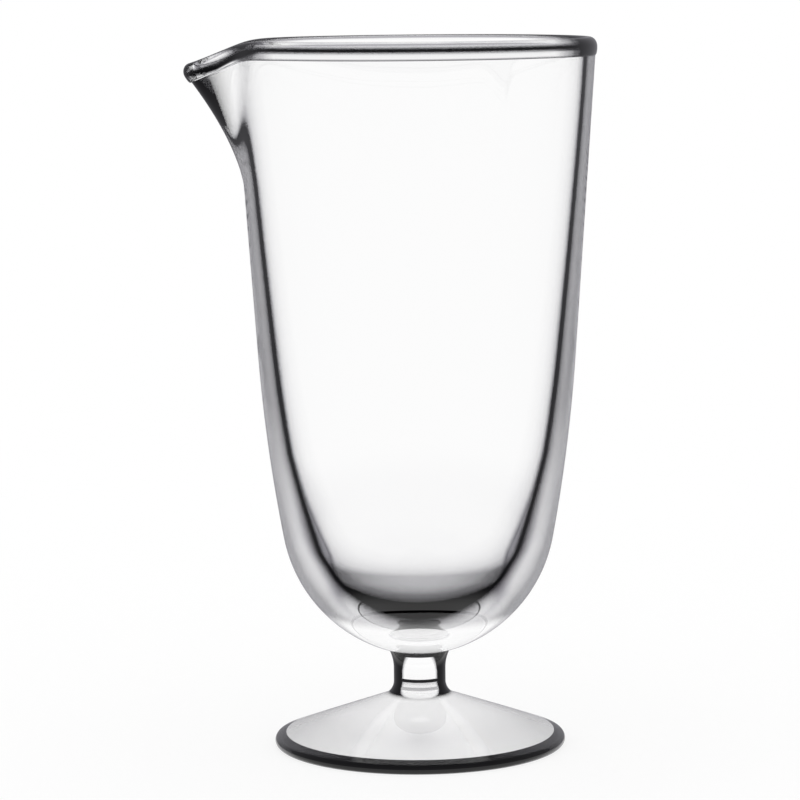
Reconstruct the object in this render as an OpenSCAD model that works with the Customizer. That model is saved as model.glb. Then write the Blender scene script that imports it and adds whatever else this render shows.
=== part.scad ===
// Footed glass cocktail pitcher with a pulled pouring spout.
// Millimetres, +Z up. The origin is the centre of the face that the foot stands on.
// The spout points along -X, and the XZ plane is the plane of symmetry.

/* [Foot] */
// Diameter of the foot across its rounded edge
foot_d = 91; // [75:0.5:110]
// Height of the foot where the stem is welded on
foot_h = 15.2; // [12:0.1:20]
// Thickness of the rounded edge of the foot
foot_edge_t = 3.2; // [2.4:0.1:4.5]
// Width of the flat ring that the foot stands on
foot_land_w = 1.6; // [1:0.1:3]
// Height of the shallow hollow under the foot
foot_hollow_h = 0.5; // [0.3:0.1:7.5]

/* [Stem] */
// Length of the stem between its two welds
stem_h = 14.8; // [12:0.1:24]
// Diameter of the stem at its waist
stem_d = 16.2; // [12:0.1:20]
// Length of the straight waist between the two flares
stem_waist_h = 4; // [2:0.1:5]
// Radius of the flare where the stem runs out onto the foot
stem_low_flare_r = 5; // [3.5:0.1:7]
// Radius of the flare where the stem meets the bowl
stem_top_flare_r = 13; // [9:0.1:20]
// Slope of the low flare where it meets the foot, in degrees from level
stem_run_out = 20; // [15:1:30]

/* [Bowl] */
// Depth of the bowl outside, from its lowest point to the rim under the bead
bowl_h = 185.7; // [160:0.1:220]
// Outer diameter of the bowl at the rim
rim_d = 110.8; // [100:0.2:122]
// Lean of the straight upper wall, in degrees from level
wall_angle = 86.1; // [85:0.1:87]
// Radius of the long curve below the straight wall, outside
side_r = 505; // [350:5:650]
// Radius of the round base of the bowl, outside
base_r = 45.8; // [42:0.1:50]
// Thickness of the wall at the rim
rim_wall_t = 2.7; // [2:0.1:3.5]
// Thickness of the glass in the middle of the base
base_t = 12.4; // [10:0.1:15]
// Lean of the short straight wall at the top of the cavity, in degrees from level
cavity_wall_angle = 85.8; // [85:0.1:86.5]
// Radius of the long curve of the upper wall, inside
cavity_wall_r = 1900; // [1500:50:2400]
// Radius of the lower side of the cavity
cavity_side_r = 158; // [130:1:190]
// Radius of the corner round the floor of the cavity
cavity_base_r = 28.5; // [25:0.1:32]

/* [Spout] */
// How far the spout is pulled out from the rim
spout_reach = 13.5; // [8:0.1:18]
// How far the tip of the spout dips below the rim
spout_dip = 6.7; // [3:0.1:9]
// How far down the wall the spout begins, below the rim
spout_h = 39.5; // [30:0.5:55]
// Spread of the spout to each side of its middle, in degrees round the bowl
spout_spread = 20; // [16:0.5:26]
// Extra thickness of the wall along the middle of the spout
spout_extra_t = 0.7; // [0:0.1:1.2]

/* [Lip bead] */
// Height of the bead above the rim of the bowl
bead_h = 5.5; // [4.5:0.1:7]
// Height of the widest part of the bead above the rim of the bowl
bead_waist_h = 2.5; // [1.8:0.1:3.2]
// How far the bead stands out past the outside of the wall
bead_out = 0.6; // [0.3:0.1:1.2]
// How far the bead stands in past the inside of the wall
bead_in = 1.4; // [0.6:0.1:2]
// How far the bead leans outward at the tip of the spout, in degrees
bead_lean = 30; // [0:1:40]

/* [Hidden] */
glass = [0.86, 0.88, 0.89, 0.45];

// Counts of steps round the pitcher and round the section of the bead
round_fn = 180;
turn_steps = 72;
bead_steps = 7;
bead_edge_steps = 3;

// Arcs of the outlines of the bowl: radii, and turning angles in degrees from level
outer_radii = [base_r, side_r];
outer_turns = [24.6, 79.5, wall_angle];
inner_radii = [cavity_base_r, cavity_side_r, cavity_wall_r];
inner_turns = [7, 65.6, 82.7, cavity_wall_angle];
// Rings along each arc, with those along the straight wall last
outer_steps = [10, 3, 16];
inner_steps = [11, 3, 13, 4];
// How strongly the rings of each stretch crowd towards the rim, where 1 is evenly
outer_crowding = [1, 1, 1.4];
inner_crowding = [1, 1, 1.4, 1];

// The inner wall is pulled out over a slightly narrower stretch than the outer one
inner_spread_share = 0.93;
// How fast the pull grows towards the rim
spout_rise_power = 1.45;
// How sharply the pull falls away to the sides
spout_side_power = 4;
// The dip falls away a little more slowly than the pull
dip_power = 0.8;
// Share of the turning steps that is drawn towards the spout
turn_crowd_share = 0.5;

edge_r = foot_edge_t / 2;
foot_edge_x = foot_d / 2 - edge_r;
land_r = foot_edge_x - foot_land_w;

outer_rim_r = rim_d / 2;
inner_rim_r = outer_rim_r - rim_wall_t;
cavity_h = bowl_h - base_t;

waist_r = stem_d / 2;
low_flare_x = waist_r + stem_low_flare_r;
hub_r = low_flare_x - stem_low_flare_r * sin(stem_run_out);
low_flare_h = stem_low_flare_r * cos(stem_run_out);
top_flare_h = stem_h - stem_waist_h - low_flare_h;
weld_z = foot_h + stem_h;
weld_r = waist_r + stem_top_flare_r - sqrt(pow(stem_top_flare_r, 2) - pow(top_flare_h, 2));

// Sum of a list
function sum(list, i = 0) = i < len(list) ? list[i] + sum(list, i + 1) : 0;

// Width and height that each arc of an outline covers
function arc_widths(radii, turns) =
    [for (i = [0:len(radii) - 1]) radii[i] * (sin(turns[i + 1]) - sin(turns[i]))];
function arc_heights(radii, turns) =
    [for (i = [0:len(radii) - 1]) radii[i] * (cos(turns[i]) - cos(turns[i + 1]))];

// Length in height of the straight wall, so that the round cap closes on the axis
function straight_h(rim_r, depth, radii, turns) =
    let (
        cap = tan(turns[0] / 2),
        lean = 1 / tan(turns[len(turns) - 1]),
        widths = sum(arc_widths(radii, turns)),
        heights = sum(arc_heights(radii, turns))
    )
    (depth - heights - (rim_r - widths) * cap) / (1 - lean * cap);

// Radius of the edge of the cap
function cap_edge_r(rim_r, depth, radii, turns) =
    rim_r - sum(arc_widths(radii, turns))
    - straight_h(rim_r, depth, radii, turns) / tan(turns[len(turns) - 1]);

// Shares of a stretch at which its rings lie
function ring_shares(steps, crowding) = [for (k = [1:steps]) 1 - pow(1 - k / steps, crowding)];

// Points of the arcs from number i on, each from where the last one ends
function arcs_from(start, radii, turns, steps, crowding, i = 0) =
    i == len(radii) ? [] :
    let (
        points = [
            for (share = ring_shares(steps[i], crowding[i]))
                let (a = turns[i] + (turns[i + 1] - turns[i]) * share)
                start + radii[i] * [sin(a) - sin(turns[i]), cos(turns[i]) - cos(a)]
        ]
    )
    concat(points, arcs_from(points[len(points) - 1], radii, turns, steps, crowding, i + 1));

// Outline of the bowl from the edge of the cap up to the rim, as [radius, height]
function outline(rim_r, depth, radii, turns, steps, crowding) =
    let (
        edge = cap_edge_r(rim_r, depth, radii, turns),
        start = [edge, rim_z - depth + edge * tan(turns[0] / 2)],
        arcs = concat([start], arcs_from(start, radii, turns, steps, crowding)),
        wall_foot = arcs[len(arcs) - 1],
        rim = [rim_r, rim_z],
        i = len(radii)
    )
    concat(arcs, [for (share = ring_shares(steps[i], crowding[i])) wall_foot + (rim - wall_foot) * share]);

// The bowl is cut flat at its lowest point, where the stem is welded on
cap_r = cap_edge_r(outer_rim_r, bowl_h, outer_radii, outer_turns) / sin(outer_turns[0]);
weld_cut_h = cap_r - sqrt(pow(cap_r, 2) - pow(weld_r, 2));
bowl_bottom_z = weld_z - weld_cut_h;
rim_z = bowl_bottom_z + bowl_h;
spout_start_z = rim_z - spout_h;
weld_turn = asin(weld_r / cap_r);
cap_middle_turn = (weld_turn + outer_turns[0]) / 2;
outer_line = concat(
    [for (a = [weld_turn, cap_middle_turn])
        [cap_r * sin(a), bowl_bottom_z + cap_r * (1 - cos(a))]],
    outline(outer_rim_r, bowl_h, outer_radii, outer_turns, outer_steps, outer_crowding)
);
inner_line = outline(inner_rim_r, cavity_h, inner_radii, inner_turns, inner_steps, inner_crowding);

// Angles round the bowl from the middle of the spout, closer together near the spout
angles = [
    for (k = [0:turn_steps - 1])
        let (even = 360 * k / turn_steps)
        even - turn_crowd_share * (180 / PI) * sin(even)
];

// How strongly the spout pulls at an angle from its middle
function pull(angle, spread) =
    let (from_middle = angle > 180 ? angle - 360 : angle)
    pow(1 + pow(from_middle / spread, 2), -spout_side_power);

// A point of the wall, pulled out and down near the spout
function wall_point(point, angle, reach, spread) =
    let (
        rise = max(0, (point[1] - spout_start_z) / spout_h),
        grow = pow(rise, spout_rise_power),
        side = pull(angle, spread),
        r = point[0] + reach * grow * side,
        z = point[1] - spout_dip * grow * pow(side, dip_power)
    )
    [-r * cos(angle), -r * sin(angle), z];

function outer_point(point, angle) = wall_point(point, angle, spout_reach, spout_spread);
function inner_point(point, angle) =
    wall_point(point, angle, spout_reach - spout_extra_t, spout_spread * inner_spread_share);

// Triangles between ring number i and the next, for rings of equal counts
function band(i, j, n) = [
    for (k = [0:n - 1])
        let (a = i * n + k, b = i * n + (k + 1) % n, c = j * n + k, d = j * n + (k + 1) % n)
        each [[a, c, b], [b, c, d]]
];

// The wide, gently sloping foot, slightly hollow underneath
module foot() {
    to_hub = [foot_edge_x - hub_r, foot_h - edge_r];
    slope = atan2(to_hub[1], to_hub[0]) - asin(edge_r / norm(to_hub));
    touch = [foot_edge_x + edge_r * sin(slope), edge_r + edge_r * cos(slope)];
    underside = [[0, foot_hollow_h], [land_r, 0], [foot_edge_x, 0]];
    top = [[foot_edge_x, edge_r], touch, [hub_r, foot_h], [0, foot_h]];
    color(glass)
    rotate_extrude($fn = round_fn) {
        polygon(concat(underside, top));
        translate([foot_edge_x, edge_r]) circle(r = edge_r, $fn = round_fn);
    }
}

// The solid stem, drawn in between a short flare at the bowl and a wider one at the foot
module stem() {
    color(glass)
    translate([0, 0, foot_h])
    rotate_extrude($fn = round_fn)
    difference() {
        square([hub_r, stem_h]);
        translate([low_flare_x, low_flare_h]) circle(r = stem_low_flare_r, $fn = round_fn);
        translate([waist_r, low_flare_h]) square([stem_low_flare_r, stem_waist_h]);
        translate([waist_r + stem_top_flare_r, low_flare_h + stem_waist_h])
            intersection() {
                circle(r = stem_top_flare_r, $fn = round_fn * 2);
                translate([-stem_top_flare_r, 0]) square([2 * stem_top_flare_r, stem_h]);
            }
    }
}

// The blown bowl: thick in the base, thin at the rim, with the spout pulled from the wall
module bowl() {
    n = turn_steps;
    rings_out = len(outer_line);
    rings_in = len(inner_line);
    last_in = rings_out + rings_in;
    points = concat(
        [for (p = outer_line) each [for (a = angles) outer_point(p, a)]],
        [for (i = [rings_in - 1:-1:0]) each [for (a = angles) inner_point(inner_line[i], a)]],
        [[0, 0, rim_z - cavity_h]]
    );
    faces = concat(
        [[for (k = [0:n - 1]) k]],
        [for (i = [0:last_in - 2]) each band(i, i + 1, n)],
        [for (k = [0:n - 1]) [(last_in - 1) * n + k, last_in * n, (last_in - 1) * n + (k + 1) % n]]
    );
    color(glass) polyhedron(points = points, faces = faces, convexity = 6);
}

// Section of the bead from the outside of the wall over the top to the inside, as [out, up]
function bead_section(half_wall) =
    let (
        out_w = half_wall + bead_out,
        in_w = half_wall + bead_in,
        middle = (out_w - in_w) / 2,
        half_w = (out_w + in_w) / 2,
        top_h = bead_h - bead_waist_h,
        edge_turns = [for (k = [1:bead_edge_steps - 1]) 90 * (1 - k / bead_edge_steps)],
        last = len(edge_turns) - 1
    )
    concat(
        [for (a = edge_turns) [half_wall + bead_out * cos(a), bead_waist_h * (1 - sin(a))]],
        [for (k = [0:2 * bead_steps]) let (a = 90 * k / bead_steps)
            [middle + half_w * cos(a), bead_waist_h + top_h * sin(a)]],
        [for (k = [last:-1:0]) let (a = edge_turns[k])
            [-half_wall - bead_in * cos(a), bead_waist_h * (1 - sin(a))]]
    );

// The round bead of glass laid along the rim and round the spout
module lip_bead() {
    n = turn_steps;
    outer_rim = [for (a = angles) outer_point([outer_rim_r, rim_z], a)];
    inner_rim = [for (a = angles) inner_point([inner_rim_r, rim_z], a)];
    middle = (outer_rim + inner_rim) / 2;
    along = [for (k = [0:n - 1]) let (d = middle[(k + 1) % n] - middle[(k + n - 1) % n]) d / norm([d[0], d[1]])];
    out = [for (d = along) [d[1], -d[0], 0]];
    lean = [for (a = angles) bead_lean * pull(a, spout_spread)];
    half_wall = [for (k = [0:n - 1]) abs((outer_rim[k] - inner_rim[k]) * out[k]) / 2];
    sections = [for (h = half_wall) bead_section(h)];
    count = len(sections[0]);
    points = concat(
        outer_rim,
        [for (i = [0:count - 1]) each [
            for (k = [0:n - 1])
                let (p = sections[k][i], c = cos(lean[k]), s = sin(lean[k]))
                middle[k] + out[k] * (p[0] * c + p[1] * s) + [0, 0, p[1] * c - p[0] * s]
        ]],
        inner_rim
    );
    faces = concat(
        [for (i = [0:count]) each band(i, i + 1, n)],
        band(count + 1, 0, n)
    );
    color(glass) polyhedron(points = points, faces = faces, convexity = 6);
}

foot();
stem();
bowl();
lip_bead();
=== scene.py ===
import math

import bpy
from mathutils import Matrix, Vector


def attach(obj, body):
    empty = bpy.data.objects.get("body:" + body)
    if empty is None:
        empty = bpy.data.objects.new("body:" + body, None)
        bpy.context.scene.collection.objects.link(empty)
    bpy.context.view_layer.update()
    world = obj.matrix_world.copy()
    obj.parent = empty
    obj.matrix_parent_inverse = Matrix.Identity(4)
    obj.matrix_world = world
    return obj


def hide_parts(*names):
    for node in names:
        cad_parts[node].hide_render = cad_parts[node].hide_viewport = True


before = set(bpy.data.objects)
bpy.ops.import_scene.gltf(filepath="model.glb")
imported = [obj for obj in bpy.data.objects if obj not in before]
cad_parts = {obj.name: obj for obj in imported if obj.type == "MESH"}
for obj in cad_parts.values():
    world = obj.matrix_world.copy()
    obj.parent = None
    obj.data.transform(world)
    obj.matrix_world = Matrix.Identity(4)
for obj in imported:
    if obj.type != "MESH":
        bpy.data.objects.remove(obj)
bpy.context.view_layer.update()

# A clear glass footed pitcher, built piece by piece in millimetres round the CAD frame.
# The spout points along -X, and the camera looks along +Y.

MM = 0.001

# Foot, with the flat ring that it stands on round a shallow hollow
FOOT_D = 91.0
FOOT_H = 15.2
FOOT_EDGE_R = 1.6
FOOT_LAND_W = 1.6
FOOT_HOLLOW_H = 0.5

# Stem, and the angle, in degrees from level, at which it runs out on the foot
STEM_H = 14.8
STEM_D = 16.2
STEM_WAIST_H = 4.0
LOW_FLARE_R = 5.0
TOP_FLARE_R = 13.0
RUN_OUT = 20.0

# Bowl, with radii and turning angles of its arcs, in degrees from level
BOWL_H = 185.7
RIM_R = 55.4
RIM_WALL_T = 2.7
BASE_T = 12.4
OUTER_RADII = (45.8, 505.0)
OUTER_TURNS = (24.6, 79.5, 86.1)
INNER_RADII = (28.5, 158.0, 1900.0)
INNER_TURNS = (7.0, 65.6, 82.7, 85.8)
# Radius of the first ring in the bottom of the cavity
CAVITY_START_R = 0.5

# Spout, with its spread to each side in degrees
SPOUT_REACH = 13.5
SPOUT_DIP = 6.7
SPOUT_H = 39.5
SPOUT_SPREAD = 20.0
SPOUT_EXTRA_T = 0.7
SPOUT_RISE_POWER = 1.45
SPOUT_SIDE_POWER = 4.0
INNER_SPREAD_SHARE = 0.93
DIP_POWER = 0.8

# Lip bead, and the angle, in degrees, at which it leans out at the spout
BEAD_H = 5.5
BEAD_WAIST_H = 2.5
BEAD_OUT = 0.6
BEAD_IN = 1.4
BEAD_LEAN = 30.0

# Steps round each piece, and along the stretches of each outline
TURN_STEPS = 288
TURN_CROWDING = 0.5
CAP_STEPS = 8
# The dark cap steps of the bowl and the dark slope steps of the foot take the glass with the painted
# black edge of shade
PAINTED_DARK_CAP_STEPS = 3
OUTER_STEPS = (36, 22, 56)
INNER_STEPS = (32, 24, 52, 8)
EDGE_STEPS = 24
SLOPE_STEPS = 40
PAINTED_DARK_SLOPE_STEPS = 3
HOLLOW_STEPS = 40
FLARE_STEPS = 16
WAIST_STEPS = 4
BEAD_TOP_STEPS = 40
BEAD_SIDE_STEPS = 10
FLOOR_STEPS = 96

# Numbers of the materials on a piece's faces
MAIN, WELD, OTHER, THIRD = range(4)

# Camera, in metres and degrees, and its lens in millimetres
CAMERA_Y = -1.060
CAMERA_Z = 0.2428
CAMERA_PITCH = 7.23
CAMERA_YAW = 0.29
CAMERA_ROLL = -0.536
CAMERA_LENS = 155.0

# Floor, with its radii in metres. Glass sees it out to the contact radii
FLOOR_R = 2.0
FLOOR_WHITE_R = 0.30
FLOOR_FADE_R = 0.90
FLOOR_GLOW = 0.8
CONTACT_R = 0.05
CONTACT_FADE_R = 0.08

# Studio as glass sees it, with angles above the horizon in degrees
CEILING_EDGES = (20.0, 50.0)
CEILING_LEVEL = 0.8
GROUND_EDGES = (-40.0, -25.0)
GROUND_LEVEL = 0.4
REFLECTED_LEVEL = 0.3
DIM_TINT = (0.96, 0.94, 1.05)
WHITE = (1, 1, 1, 1)
# Light goes round inside the thick wall many times before it leaves
BOUNCES = 128
WELD_PASSES = 32

# Glass, and the faint waves of its surface, with their height in metres
GLASS_IOR = 1.5
GLASS_SPECULAR = 0.08
GROUND_FACE_ROUGHNESS = 0.3
WAVE_SCALE = 45.0
WAVE_DETAIL = 1.0
WAVE_STRENGTH = 0.02
WAVE_H = 0.001

# Painted shade at the glass's edges: light let through by how far a surface turns away, from 0, square
# on, to 1, edge on
WALL_PAINTED_SHADE = ((0.46, 1), (0.53, 0.95), (0.57, 0.88), (0.613, 0.74), (0.637, 0.45), (0.65, 0.1),
                (0.657, 0), (0.7, 0), (0.71, 0.12), (0.725, 0.24), (0.754, 0.34), (0.79, 0.38),
                (0.84, 0.34), (0.9, 0.34), (1, 0.55))
BASE_PAINTED_SHADE = ((0.46, 1), (0.53, 0.95), (0.57, 0.88), (0.613, 0.74), (0.637, 0.5), (0.652, 0.2),
                (0.662, 0), (0.69, 0), (0.706, 0.12), (0.73, 0.35), (0.76, 0.55), (0.8, 0.72),
                (0.85, 0.72), (0.93, 0.6), (1, 0.42))
SPOUT_PAINTED_SHADE = ((0.1, 1), (0.2, 0.35), (0.28, 0.05), (0.35, 0), (0.9, 0), (1, 0.4))
CAVITY_PAINTED_SHADE = ((0.7, 1), (0.79, 0.7), (0.86, 0.15), (0.9, 0))
STEM_PAINTED_SHADE = ((0.21, 1), (0.245, 0.7), (0.28, 0.05), (0.3, 0))
EDGE_PAINTED_SHADE = ((0, 0), (0.5, 0), (0.9, 0.1), (1, 0.6))
BEAD_PAINTED_SHADE = ((0.3, 1), (0.5, 0.6), (0.6, 0.15), (0.68, 0))

# Painted shade on the outside of the bead: light let through by it, from its top, 0, round to its
# bottom, 1, and by how far it turns away sideways
BEAD_ROUND_PAINTED_SHADE = ((0.14, 1), (0.2, 0.88), (0.26, 0.62), (0.305, 0.34), (0.345, 0.14),
                      (0.375, 0.02), (0.4, 0), (0.465, 0), (0.495, 0.14), (0.53, 0.75),
                      (0.545, 0.9), (0.615, 0.95), (0.68, 0.5), (0.785, 0.2), (1, 0.2))
BEAD_END_PAINTED_SHADE = ((0.36, 1), (0.44, 0.6), (0.52, 0.15), (0.58, 0))
# On the spout the bead's painted dark line of shade lies lower: by which share of the way round, and
# between which distances from the axis it goes down
BEAD_PAINTED_LINE_DROP = 0.25
BEAD_PAINTED_LINE_REACHES = (46.0, 60.0)

# Heights between which the painted dark edges set in
WALL_PLAIN_HEIGHTS = (40.0, 44.0)
STEM_PLAIN_HEIGHTS = (15.2, 16.5)

# Where the bowl's glass is thicker its painted dark edge is wider: amount, heights and power of each
# part
WALL_SHIFTS = ((0.17, (207.0, 95.0), 1.2), (0.15, (95.0, 61.0), 1), (0.02, (57.0, 50.0), 1))
BASE_HEIGHTS = (110.0, 66.0)
# In the round bottom the painted dark edge also reaches to the middle
BOTTOM_SHIFT = 0.3
BOTTOM_SHIFT_HEIGHTS = (72.0, 60.0)
BOTTOM_SHIFT_END = 0.34

# Painted dark bands of shade that run all round the stem, as heights and the least place on the ramp
# there
STEM_PAINTED_DARK_BANDS = ((17.8, 0), (18.1, 0.26), (19.0, 0.26), (19.4, 0), (20.2, 0), (20.6, 0.3),
              (21.5, 0.3), (22.0, 0), (28.2, 0), (28.8, 0.3), (30.0, 0.3))

# Where on the spout its own painted dark edge sets in, as shares of the way from the round wall to
# its ridge, and the least length of that way
SPOUT_SHARES = (0.0, 0.7)
SPOUT_START_HEIGHTS = (178.0, 194.0)
LEAST_SPOUT_REACH = 0.27


# Geometry
def sweep_angles(crowding):
    """Angles round a piece from the middle of the spout, closer together near it."""
    even = [2 * math.pi * k / TURN_STEPS for k in range(TURN_STEPS)]
    return [a - crowding * math.sin(a) for a in even]


def arc(start, radius, turn_from, turn_to, steps):
    """Points of an arc after its start, as [radius, height], for turning angles in degrees."""
    first = math.radians(turn_from)
    points = []
    for k in range(1, steps + 1):
        a = math.radians(turn_from + (turn_to - turn_from) * k / steps)
        across = radius * (math.sin(a) - math.sin(first))
        points.append((start[0] + across, start[1] + radius * (math.cos(first) - math.cos(a))))
    return points


def straight(start, end, steps):
    """Points of a straight line after its start."""
    shares = [k / steps for k in range(1, steps + 1)]
    return [tuple(s + (e - s) * t for s, e in zip(start, end)) for t in shares]


def bowl_line(rim_r, depth, rim_z, radii, turns, steps, start_r):
    """Outline of the bowl from start_r on its round cap up to the rim."""
    pairs = list(zip(radii, turns, turns[1:]))
    widths = sum(r * (math.sin(math.radians(b)) - math.sin(math.radians(a))) for r, a, b in pairs)
    heights = sum(r * (math.cos(math.radians(a)) - math.cos(math.radians(b))) for r, a, b in pairs)
    first, last = math.radians(turns[0]), math.radians(turns[-1])
    cap = math.tan(first / 2)
    wall_h = (depth - heights - (rim_r - widths) * cap) / (1 - cap / math.tan(last))
    edge_r = rim_r - widths - wall_h / math.tan(last)
    cap_r = edge_r / math.sin(first)
    bottom = rim_z - depth
    start_turn = math.degrees(math.asin(start_r / cap_r))
    points = [(start_r, bottom + cap_r - math.sqrt(cap_r ** 2 - start_r ** 2))]
    points += arc(points[-1], cap_r, start_turn, turns[0], CAP_STEPS)
    for (radius, a, b), count in zip(pairs, steps):
        points += arc(points[-1], radius, a, b, count)
    return points + straight(points[-1], (rim_r, rim_z), steps[-1])


def pull(angle, spread):
    """How strongly the spout pulls at an angle, in radians, from its middle."""
    from_middle = math.degrees(angle - 2 * math.pi if angle > math.pi else angle)
    return (1 + (from_middle / spread) ** 2) ** -SPOUT_SIDE_POWER


def wall_point(point, angle, rim_z, reach, spread):
    """A point of the bowl's wall, pulled out and down near the spout."""
    grow = max(0.0, (point[1] - rim_z + SPOUT_H) / SPOUT_H) ** SPOUT_RISE_POWER
    side = pull(angle, spread)
    r = point[0] + reach * grow * side
    z = point[1] - SPOUT_DIP * grow * side ** DIP_POWER
    return Vector((-r * math.cos(angle), -r * math.sin(angle), z))


def outer_point(point, angle, rim_z):
    return wall_point(point, angle, rim_z, SPOUT_REACH, SPOUT_SPREAD)


def inner_point(point, angle, rim_z):
    reach = SPOUT_REACH - SPOUT_EXTRA_T
    return wall_point(point, angle, rim_z, reach, SPOUT_SPREAD * INNER_SPREAD_SHARE)


def ring(radius, height, angles):
    return [Vector((-radius * math.cos(a), -radius * math.sin(a), height)) for a in angles]


def ringed_mesh(name, rings, glasses, creases, low_point=None, high_point=None):
    """A closed smooth mesh of rings, where low_point and high_point close its ends.
    glasses gives the numbers of the bands that take each material but the main one.
    The numbers -1 and len(rings) are the ends. creases gives the rings with a sharp edge."""
    n = len(rings[0])
    count = len(rings)
    closed = low_point is None
    points = [p * MM for r in rings for p in r]
    kind_of = {band: kind for kind, bands in glasses.items() for band in bands}
    faces, kinds = [], []
    for i in range(count if closed else count - 1):
        j = (i + 1) % count
        for k in range(n):
            m = (k + 1) % n
            faces.append((i * n + k, i * n + m, j * n + m, j * n + k))
            kinds.append(kind_of.get(i, MAIN))
    ends = () if closed else ((low_point, 0, -1, True), (high_point, (count - 1) * n, count, False))
    for tip, base, number, low in ends:
        points.append(tip * MM)
        for k in range(n):
            pair = (base + k, base + (k + 1) % n)
            faces.append((len(points) - 1, *(reversed(pair) if low else pair)))
            kinds.append(kind_of.get(number, MAIN))
    mesh = bpy.data.meshes.new(name)
    mesh.from_pydata([tuple(p) for p in points], [], faces)
    mesh.polygons.foreach_set("use_smooth", [True] * len(faces))
    mesh.polygons.foreach_set("material_index", kinds)
    for edge in mesh.edges:
        a, b = edge.vertices
        if a // n == b // n and a // n in creases and max(a, b) < count * n:
            edge.use_edge_sharp = True
    mesh.update()
    return mesh


def stem_line():
    """Outline of the stem from the foot up to the bowl, as [radius, height]."""
    waist = STEM_D / 2
    low_x = waist + LOW_FLARE_R
    top_x = waist + TOP_FLARE_R
    low_h = LOW_FLARE_R * math.cos(math.radians(RUN_OUT))
    waist_top = FOOT_H + low_h + STEM_WAIST_H
    top_h = STEM_H - STEM_WAIST_H - low_h
    points = []
    for k in range(FLARE_STEPS + 1):
        a = math.radians(RUN_OUT + (90 - RUN_OUT) * k / FLARE_STEPS)
        points.append((low_x - LOW_FLARE_R * math.sin(a), FOOT_H + low_h - LOW_FLARE_R * math.cos(a)))
    points += straight(points[-1], (waist, waist_top), WAIST_STEPS)
    last = math.asin(top_h / TOP_FLARE_R)
    for k in range(1, FLARE_STEPS + 1):
        a = last * k / FLARE_STEPS
        points.append((top_x - TOP_FLARE_R * math.cos(a), waist_top + TOP_FLARE_R * math.sin(a)))
    return points


def foot_line(hub_r):
    """Outline of the foot in three stretches: its hollow, its edge, and its slope to the weld."""
    edge_x = FOOT_D / 2 - FOOT_EDGE_R
    land_r = edge_x - FOOT_LAND_W
    to_hub = (edge_x - hub_r, FOOT_H - FOOT_EDGE_R)
    slope = math.atan2(to_hub[1], to_hub[0]) - math.asin(FOOT_EDGE_R / math.hypot(*to_hub))
    hollow = straight((0, FOOT_HOLLOW_H), (land_r, 0), HOLLOW_STEPS)
    edge = []
    for k in range(EDGE_STEPS + 1):
        a = -math.pi / 2 + (math.pi - slope) * k / EDGE_STEPS
        edge.append((edge_x + FOOT_EDGE_R * math.cos(a), FOOT_EDGE_R * (1 + math.sin(a))))
    return hollow, edge, straight(edge[-1], (hub_r, FOOT_H), SLOPE_STEPS)


def make_foot():
    hub_r = stem_line()[0][0]
    hollow, edge, slope = foot_line(hub_r)
    angles = sweep_angles(0)
    rings = [ring(r, z, angles) for r, z in hollow + edge + slope]
    low = Vector((0, 0, FOOT_HOLLOW_H))
    high = Vector((0, 0, FOOT_H))
    creases = (len(hollow) - 1, len(rings) - 1)
    # The rounded edge and the first slope steps take the glass with the painted black edge of shade
    dark = range(len(hollow), len(hollow) + len(edge) - 1 + PAINTED_DARK_SLOPE_STEPS)
    glasses = {WELD: (len(rings),), OTHER: dark, THIRD: range(-1, len(hollow))}
    return ringed_mesh("foot_glass", rings, glasses, creases, low, high)


def make_stem():
    line = stem_line()
    angles = sweep_angles(0)
    rings = [ring(r, z, angles) for r, z in line]
    low = Vector((0, 0, FOOT_H))
    high = Vector((0, 0, FOOT_H + STEM_H))
    glasses = {WELD: (-1, len(rings))}
    return ringed_mesh("stem_glass", rings, glasses, (0, len(rings) - 1), low, high)


def bowl_ends():
    """Radius of the weld on the stem, and the height of the rim."""
    weld_r = stem_line()[-1][0]
    line = bowl_line(RIM_R, BOWL_H, BOWL_H, OUTER_RADII, OUTER_TURNS, OUTER_STEPS, weld_r)
    return weld_r, FOOT_H + STEM_H - line[0][1] + BOWL_H


def make_bowl():
    weld_r, rim_z = bowl_ends()
    angles = sweep_angles(TURN_CROWDING)
    outer = bowl_line(RIM_R, BOWL_H, rim_z, OUTER_RADII, OUTER_TURNS, OUTER_STEPS, weld_r)
    depth = BOWL_H - BASE_T
    inner_r = RIM_R - RIM_WALL_T
    inner = bowl_line(inner_r, depth, rim_z, INNER_RADII, INNER_TURNS, INNER_STEPS, CAVITY_START_R)
    rings = [[outer_point(p, a, rim_z) for a in angles] for p in outer]
    rings += [[inner_point(p, a, rim_z) for a in angles] for p in reversed(inner)]
    low = Vector((0, 0, FOOT_H + STEM_H))
    high = Vector((0, 0, rim_z - depth))
    rim = len(outer) - 1
    # The first cap steps take the glass with the painted black edge of shade
    glasses = {WELD: (-1, rim), OTHER: range(rim + 1, len(rings) + 1), THIRD: range(PAINTED_DARK_CAP_STEPS)}
    return ringed_mesh("bowl_glass", rings, glasses, (0, rim, rim + 1), low, high)


def bead_section(half_wall):
    """Section of the bead from the outside of the wall over the top to the inside."""
    out_w = half_wall + BEAD_OUT
    in_w = half_wall + BEAD_IN
    top_h = BEAD_H - BEAD_WAIST_H
    turns = [math.pi / 2 * (1 - k / BEAD_SIDE_STEPS) for k in range(1, BEAD_SIDE_STEPS)]
    points = [(half_wall + BEAD_OUT * math.cos(a), BEAD_WAIST_H * (1 - math.sin(a))) for a in turns]
    for k in range(BEAD_TOP_STEPS + 1):
        a = math.pi * k / BEAD_TOP_STEPS
        across = (out_w - in_w) / 2 + (out_w + in_w) / 2 * math.cos(a)
        points.append((across, BEAD_WAIST_H + top_h * math.sin(a)))
    for a in reversed(turns):
        points.append((-half_wall - BEAD_IN * math.cos(a), BEAD_WAIST_H * (1 - math.sin(a))))
    return points


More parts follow.
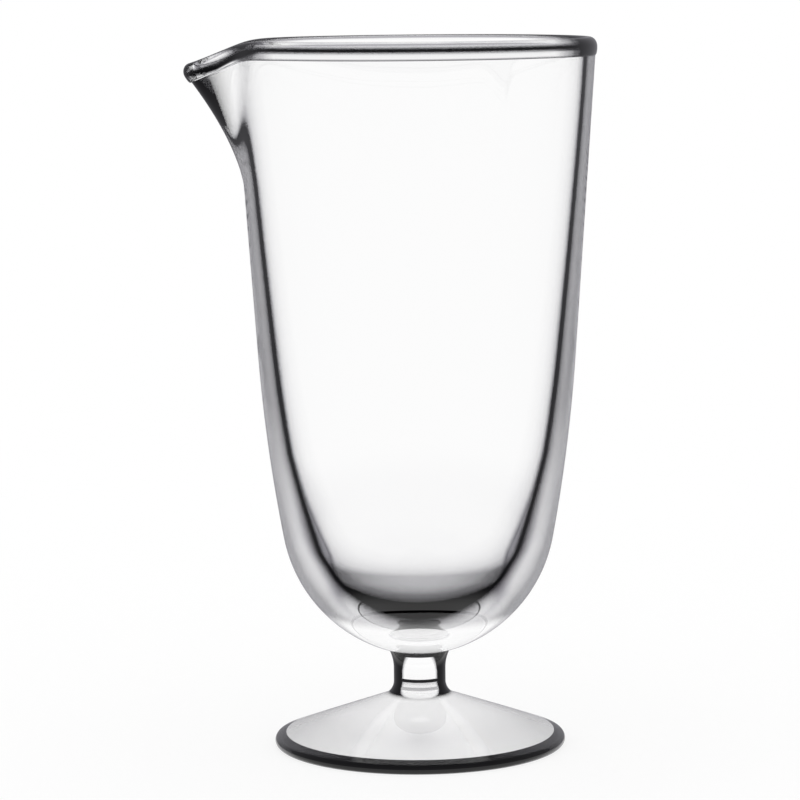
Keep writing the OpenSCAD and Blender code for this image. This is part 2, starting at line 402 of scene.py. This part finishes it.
def make_bead():
    rim_z = bowl_ends()[1]
    angles = sweep_angles(TURN_CROWDING)
    n = len(angles)
    outer = [outer_point((RIM_R, rim_z), a, rim_z) for a in angles]
    inner = [inner_point((RIM_R - RIM_WALL_T, rim_z), a, rim_z) for a in angles]
    middle = [(o + i) / 2 for o, i in zip(outer, inner)]
    columns = []
    for k, angle in enumerate(angles):
        along = middle[(k + 1) % n] - middle[k - 1]
        out = Vector((along.y, -along.x, 0)).normalized()
        lean = math.radians(BEAD_LEAN) * pull(angle, SPOUT_SPREAD)
        half_wall = abs((outer[k] - inner[k]).dot(out)) / 2
        column = [outer[k]]
        for p in bead_section(half_wall):
            across = p[0] * math.cos(lean) + p[1] * math.sin(lean)
            up = p[1] * math.cos(lean) - p[0] * math.sin(lean)
            column.append(middle[k] + out * across + Vector((0, 0, up)))
        columns.append(column + [inner[k]])
    rings = [list(r) for r in zip(*columns)]
    last = len(rings) - 1
    glasses = {WELD: (last,), OTHER: range(BEAD_SIDE_STEPS + BEAD_TOP_STEPS // 2)}
    return ringed_mesh("lip_bead_glass", rings, glasses, (0, last))


# Nodes
def put(links, socket, value):
    """Sets a socket to a number or colour, or links a node's result to it."""
    if isinstance(value, bpy.types.NodeSocket):
        links.new(value, socket)
    else:
        socket.default_value = value


def math_node(nodes, links, operation, *values, kind="ShaderNodeMath", result="Value"):
    """The result of a sum. Each value is a number, a vector or another node's result."""
    node = nodes.new(kind)
    node.operation = operation
    for socket, value in zip(node.inputs, values):
        put(links, socket, value)
    return node.outputs[result]


def vector_node(nodes, links, operation, *values, result="Vector"):
    """The result of a sum of vectors."""
    return math_node(nodes, links, operation, *values, kind="ShaderNodeVectorMath", result=result)


def stretch(nodes, links, value, start, end, low=0, high=1, pace="LINEAR"):
    """Goes from low to high while value goes from start to end."""
    node = nodes.new("ShaderNodeMapRange")
    node.interpolation_type = pace
    put(links, node.inputs["Value"], value)
    put(links, node.inputs["From Min"], start)
    put(links, node.inputs["From Max"], end)
    put(links, node.inputs["To Min"], low)
    put(links, node.inputs["To Max"], high)
    return node.outputs["Result"]


def smooth_step(nodes, links, value, start, end, low=0, high=1):
    """As stretch, but eased at both ends."""
    return stretch(nodes, links, value, start, end, low, high, "SMOOTHSTEP")


def mixed(nodes, links, share, low, high, kind="RGBA"):
    """Goes from low to high with share. Each is a colour, a number or a node's result."""
    node = nodes.new("ShaderNodeMix")
    node.data_type = kind
    links.new(share, node.inputs["Factor"])
    put(links, node.inputs["A"], low)
    put(links, node.inputs["B"], high)
    return node.outputs["Result"]


def mixed_shader(nodes, links, share, low, high):
    """A shader that goes from low to high with share."""
    node = nodes.new("ShaderNodeMixShader")
    for socket, result in zip(node.inputs, (share, low, high)):
        links.new(result, socket)
    return node.outputs["Shader"]


def colour_ramp(nodes, links, place, stops):
    """A colour that goes through stops, as pairs of a place and a colour."""
    node = nodes.new("ShaderNodeValToRGB")
    elements = node.color_ramp.elements
    first, last = elements[0], elements[1]
    first.position, first.color = stops[0]
    last.position, last.color = stops[-1]
    for position, colour in stops[1:-1]:
        elements.new(position).color = colour
    links.new(place, node.inputs["Fac"])
    return node.outputs["Color"]


# Painted shade: dark edges painted into the colour of the glass
def painted_shade_ramp(nodes, links, away, shade_stops):
    """Painted shade: colour of glass that lets light through as the stops say. The shader takes the
    root of its colour, so the light is squared, and dim glass takes on a tint."""
    stops = []
    for place, light in shade_stops:
        colour = [min(1, light ** 2 * (light + (1 - light) * t)) for t in DIM_TINT]
        stops.append((place, (*colour, 1)))
    return colour_ramp(nodes, links, away, stops)


def by_height(nodes, links, parts, heights, pace="LINEAR"):
    """0 at the first of two heights, rising to 1 at the second."""
    return stretch(nodes, links, parts.outputs["Z"], *[h * MM for h in heights], pace=pace)


def wall_turn(nodes, links, parts, facing):
    """Place on the painted shade ramp: how far the wall turns away, and more where its glass is
    thicker.
    """
    away = facing
    for amount, heights, power in WALL_SHIFTS:
        low = by_height(nodes, links, parts, heights)
        thick = math_node(nodes, links, "POWER", low, power)
        away = math_node(nodes, links, "MULTIPLY_ADD", thick, amount, away)
    low = by_height(nodes, links, parts, BOTTOM_SHIFT_HEIGHTS)
    middle = stretch(nodes, links, facing, BOTTOM_SHIFT_END, 0)
    both = math_node(nodes, links, "MULTIPLY", low, middle)
    return math_node(nodes, links, "MULTIPLY_ADD", both, BOTTOM_SHIFT, away)


def stem_turn(nodes, links, parts, facing):
    """Place on the painted shade ramp: how far the stem turns away, and more in the painted dark bands
    across it.
    """
    start, end = STEM_PAINTED_DARK_BANDS[0][0], STEM_PAINTED_DARK_BANDS[-1][0]
    stops = [((z - start) / (end - start), (level, level, level, 1)) for z, level in STEM_PAINTED_DARK_BANDS]
    bands = colour_ramp(nodes, links, by_height(nodes, links, parts, (start, end)), stops)
    return math_node(nodes, links, "MAXIMUM", facing, bands)


def bead_turn(nodes, links, parts, facing):
    """How far round the bead's section a surface lies, from the top, 0, to the bottom, 1, and
    less on the spout, so that the painted dark line of shade lies lower there."""
    normal = nodes.new("ShaderNodeSeparateXYZ")
    links.new(nodes.new("ShaderNodeTexCoord").outputs["Normal"], normal.inputs[0])
    round_way = math_node(nodes, links, "MULTIPLY_ADD", normal.outputs["Z"], -0.5, 0.5)
    on_tip = stretch(nodes, links, parts.outputs["X"], *[-reach * MM for reach in BEAD_PAINTED_LINE_REACHES])
    return math_node(nodes, links, "MULTIPLY_ADD", on_tip, -BEAD_PAINTED_LINE_DROP, round_way)


def bead_end_painted_shade(nodes, links):
    """Painted shade: colour of the bead, darker by how far its run turns away sideways."""
    normal = nodes.new("ShaderNodeTexCoord").outputs["Normal"]
    level = vector_node(nodes, links, "MULTIPLY", normal, (1, 1, 0))
    sideways = nodes.new("ShaderNodeLayerWeight")
    links.new(vector_node(nodes, links, "NORMALIZE", level), sideways.inputs["Normal"])
    return painted_shade_ramp(nodes, links, sideways.outputs["Facing"], BEAD_END_PAINTED_SHADE)


def base_painted_shade_share(nodes, links, parts):
    """1 low on the bowl, where the glass is thick and its own painted shade ramp takes over."""
    return by_height(nodes, links, parts, BASE_HEIGHTS)


def spout_painted_ridge_share(nodes, links, parts):
    """0 on the round wall and 1 towards the ridge of the spout, in each height's own measure, where
    the spout's painted dark ridge takes over.
    """
    lean = 1 / math.tan(math.radians(OUTER_TURNS[-1]))
    rim_z = bowl_ends()[1]
    height, x = parts.outputs["Z"], parts.outputs["X"]
    wall_r = math_node(nodes, links, "MULTIPLY_ADD", height, lean, (RIM_R - rim_z * lean) * MM)
    inside = math_node(nodes, links, "ADD", wall_r, x)
    excess = math_node(nodes, links, "MULTIPLY", inside, -1)
    rise = by_height(nodes, links, parts, (rim_z - SPOUT_H, rim_z))
    grow = math_node(nodes, links, "POWER", rise, SPOUT_RISE_POWER)
    reach = math_node(nodes, links, "MULTIPLY_ADD", grow, SPOUT_REACH * MM, LEAST_SPOUT_REACH * MM)
    way = math_node(nodes, links, "DIVIDE", excess, reach)
    share = stretch(nodes, links, way, *SPOUT_SHARES)
    begun = by_height(nodes, links, parts, SPOUT_START_HEIGHTS)
    return math_node(nodes, links, "MULTIPLY", share, begun)


def painted_dark_edges(nodes, links, shade_stops, plain_heights=None, turn=None, zones=(), ends=None):
    """Painted shade: colour of glass that is painted dark where the stops say, and only where light
    enters it.
    The dark sets in between plain_heights, turn works out the place on the ramp, zones are
    places with a ramp of their own, and ends gives a second colour to multiply by."""
    parts = nodes.new("ShaderNodeSeparateXYZ")
    links.new(nodes.new("ShaderNodeTexCoord").outputs["Object"], parts.inputs[0])
    away = nodes.new("ShaderNodeLayerWeight").outputs["Facing"]
    if turn:
        away = turn(nodes, links, parts, away)
    shade = painted_shade_ramp(nodes, links, away, shade_stops)
    for where, ramp in zones:
        own = painted_shade_ramp(nodes, links, away, ramp)
        shade = mixed(nodes, links, where(nodes, links, parts), shade, own)
    if ends:
        shade = vector_node(nodes, links, "MULTIPLY", shade, ends(nodes, links))
    # The painted shade shows only where light enters the glass
    leaving = nodes.new("ShaderNodeNewGeometry").outputs["Backfacing"]
    dark = math_node(nodes, links, "SUBTRACT", 1, leaving)
    if plain_heights:
        set_in = by_height(nodes, links, parts, plain_heights, "SMOOTHSTEP")
        dark = math_node(nodes, links, "MULTIPLY", set_in, dark)
    return mixed(nodes, links, dark, WHITE, shade)


# Materials
def new_material(name):
    material = bpy.data.materials.new(name)
    material.use_nodes = True
    material.node_tree.nodes.clear()
    return material, material.node_tree.nodes, material.node_tree.links


def glass_material(name, shade_stops=None, roughness=0, **edges):
    """Clear colourless glass with the faint waviness of a hand-made surface, and with painted
    dark edges of shade if the stops give them."""
    material, nodes, links = new_material(name)
    output = nodes.new("ShaderNodeOutputMaterial")
    glass = nodes.new("ShaderNodeBsdfPrincipled")
    colour = painted_dark_edges(nodes, links, shade_stops, **edges) if shade_stops else WHITE
    put(links, glass.inputs["Base Color"], colour)
    glass.inputs["Transmission Weight"].default_value = 1
    glass.inputs["Roughness"].default_value = roughness
    glass.inputs["IOR"].default_value = GLASS_IOR
    glass.inputs["Specular IOR Level"].default_value = GLASS_SPECULAR
    waves = nodes.new("ShaderNodeTexNoise")
    waves.inputs["Scale"].default_value = WAVE_SCALE
    waves.inputs["Detail"].default_value = WAVE_DETAIL
    bump = nodes.new("ShaderNodeBump")
    bump.inputs["Strength"].default_value = WAVE_STRENGTH
    bump.inputs["Distance"].default_value = WAVE_H
    links.new(nodes.new("ShaderNodeTexCoord").outputs["Object"], waves.inputs["Vector"])
    links.new(waves.outputs["Fac"], bump.inputs["Height"])
    links.new(bump.outputs["Normal"], glass.inputs["Normal"])
    links.new(glass.outputs["BSDF"], output.inputs["Surface"])
    return material


def weld_material():
    """Where two pieces are welded, light goes straight through."""
    material, nodes, links = new_material("weld")
    output = nodes.new("ShaderNodeOutputMaterial")
    clear = nodes.new("ShaderNodeBsdfTransparent")
    links.new(clear.outputs["BSDF"], output.inputs["Surface"])
    return material


def from_glass(nodes, links):
    """1 for rays that a reflection or glass sends on."""
    path = nodes.new("ShaderNodeLightPath").outputs
    return math_node(nodes, links, "MAXIMUM", path["Is Glossy Ray"], path["Is Transmission Ray"])


def floor_material():
    """A plain white table that glows a little, and gives way to the studio at its edge.
    Glass sees it only close to the foot, and past that the studio."""
    material, nodes, links = new_material("white_floor")
    output = nodes.new("ShaderNodeOutputMaterial")
    paper = nodes.new("ShaderNodeBsdfDiffuse")
    paper.inputs["Color"].default_value = WHITE
    glow = nodes.new("ShaderNodeEmission")
    clear = nodes.new("ShaderNodeBsdfTransparent")
    in_glass = from_glass(nodes, links)
    by_camera = nodes.new("ShaderNodeLightPath").outputs["Is Camera Ray"]
    seen = math_node(nodes, links, "MAXIMUM", by_camera, in_glass)
    share = math_node(nodes, links, "MULTIPLY", seen, FLOOR_GLOW)
    lit = mixed_shader(nodes, links, share, paper.outputs["BSDF"], glow.outputs["Emission"])
    place = nodes.new("ShaderNodeNewGeometry").outputs["Position"]
    distance = vector_node(nodes, links, "LENGTH", place, result="Value")
    fade = smooth_step(nodes, links, distance, FLOOR_WHITE_R, FLOOR_FADE_R)
    near_fade = smooth_step(nodes, links, distance, CONTACT_R, CONTACT_FADE_R)
    gone = mixed(nodes, links, in_glass, fade, near_fade, "FLOAT")
    shader = mixed_shader(nodes, links, gone, lit, clear.outputs["BSDF"])
    links.new(shader, output.inputs["Surface"])
    return material


# Scene
def make_world():
    """An even white dome. Through the glass it is white near the horizon and dimmer elsewhere."""
    world = bpy.data.worlds.new("studio")
    bpy.context.scene.world = world
    world.use_nodes = True
    nodes, links = world.node_tree.nodes, world.node_tree.links
    nodes.clear()
    parts = nodes.new("ShaderNodeSeparateXYZ")
    links.new(nodes.new("ShaderNodeTexCoord").outputs["Generated"], parts.inputs[0])
    high_edges, low_edges = [
        [math.sin(math.radians(a)) for a in pair] for pair in (CEILING_EDGES, GROUND_EDGES)
    ]
    ceiling = smooth_step(nodes, links, parts.outputs["Z"], *high_edges, 1, CEILING_LEVEL)
    ground = smooth_step(nodes, links, parts.outputs["Z"], *low_edges, GROUND_LEVEL, 1)
    pattern = math_node(nodes, links, "MULTIPLY", ceiling, ground)
    refracted = nodes.new("ShaderNodeLightPath").outputs["Is Transmission Ray"]
    dimming = math_node(nodes, links, "MULTIPLY_ADD", refracted, 1 - REFLECTED_LEVEL, REFLECTED_LEVEL)
    dimmed = math_node(nodes, links, "MULTIPLY", pattern, dimming)
    level = mixed(nodes, links, from_glass(nodes, links), 1, dimmed, "FLOAT")
    background = nodes.new("ShaderNodeBackground")
    output = nodes.new("ShaderNodeOutputWorld")
    links.new(mixed(nodes, links, level, (*DIM_TINT, 1), WHITE), background.inputs["Color"])
    links.new(level, background.inputs["Strength"])
    links.new(background.outputs["Background"], output.inputs["Surface"])


def add_object(name, mesh, materials):
    piece = bpy.data.objects.new(name, mesh)
    bpy.context.scene.collection.objects.link(piece)
    for material in materials:
        mesh.materials.append(material)
    return piece


def make_camera():
    data = bpy.data.cameras.new("camera")
    data.lens = CAMERA_LENS
    camera = bpy.data.objects.new("camera", data)
    bpy.context.scene.collection.objects.link(camera)
    turn = Matrix.Rotation(math.radians(CAMERA_YAW), 4, "Z")
    tilt = Matrix.Rotation(math.radians(90 - CAMERA_PITCH), 4, "X")
    roll = Matrix.Rotation(math.radians(CAMERA_ROLL), 4, "Z")
    camera.matrix_world = Matrix.Translation((0, CAMERA_Y, CAMERA_Z)) @ turn @ tilt @ roll
    bpy.context.scene.camera = camera


def make_floor():
    turns = [2 * math.pi * k / FLOOR_STEPS for k in range(FLOOR_STEPS)]
    points = [(FLOOR_R * math.cos(a), FLOOR_R * math.sin(a), 0) for a in turns]
    mesh = bpy.data.meshes.new("floor")
    mesh.from_pydata(points, [], [tuple(range(FLOOR_STEPS))])
    floor = add_object("floor", mesh, [floor_material()])


def make_pieces():
    """The pieces of glass, each in place of its CAD node."""
    # The dark edges, bands and lines of these glass materials are painted shade
    zones = ((base_painted_shade_share, BASE_PAINTED_SHADE), (spout_painted_ridge_share, SPOUT_PAINTED_SHADE))
    wall = glass_material(
        "wall_glass", WALL_PAINTED_SHADE, plain_heights=WALL_PLAIN_HEIGHTS, turn=wall_turn, zones=zones
    )
    cavity = glass_material("cavity_glass", CAVITY_PAINTED_SHADE)
    foot = glass_material("foot_glass")
    under = glass_material("ground_glass", roughness=GROUND_FACE_ROUGHNESS)
    edge = glass_material("edge_glass", EDGE_PAINTED_SHADE)
    stem = glass_material("stem_glass", STEM_PAINTED_SHADE, plain_heights=STEM_PLAIN_HEIGHTS, turn=stem_turn)
    bead = glass_material("bead_glass", BEAD_PAINTED_SHADE)
    bead_out = glass_material("bead_side", BEAD_ROUND_PAINTED_SHADE, turn=bead_turn, ends=bead_end_painted_shade)
    makers = {
        "foot": (make_foot, foot, edge, under),
        "stem": (make_stem, stem),
        "bowl": (make_bowl, wall, cavity, edge),
        "lip_bead": (make_bead, bead, bead_out),
    }
    weld = weld_material()
    for node, (make, main_glass, *other_glass) in makers.items():
        mesh = make()
        piece = add_object(mesh.name, mesh, [main_glass, weld, *other_glass])
        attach(piece, "root")
        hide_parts(node)


def main():
    make_camera()
    make_world()
    make_floor()
    make_pieces()
    scene = bpy.context.scene
    scene.view_settings.view_transform = "Standard"
    scene.cycles.max_bounces = BOUNCES
    scene.cycles.transmission_bounces = BOUNCES
    scene.cycles.glossy_bounces = BOUNCES
    scene.cycles.transparent_max_bounces = WELD_PASSES


main()
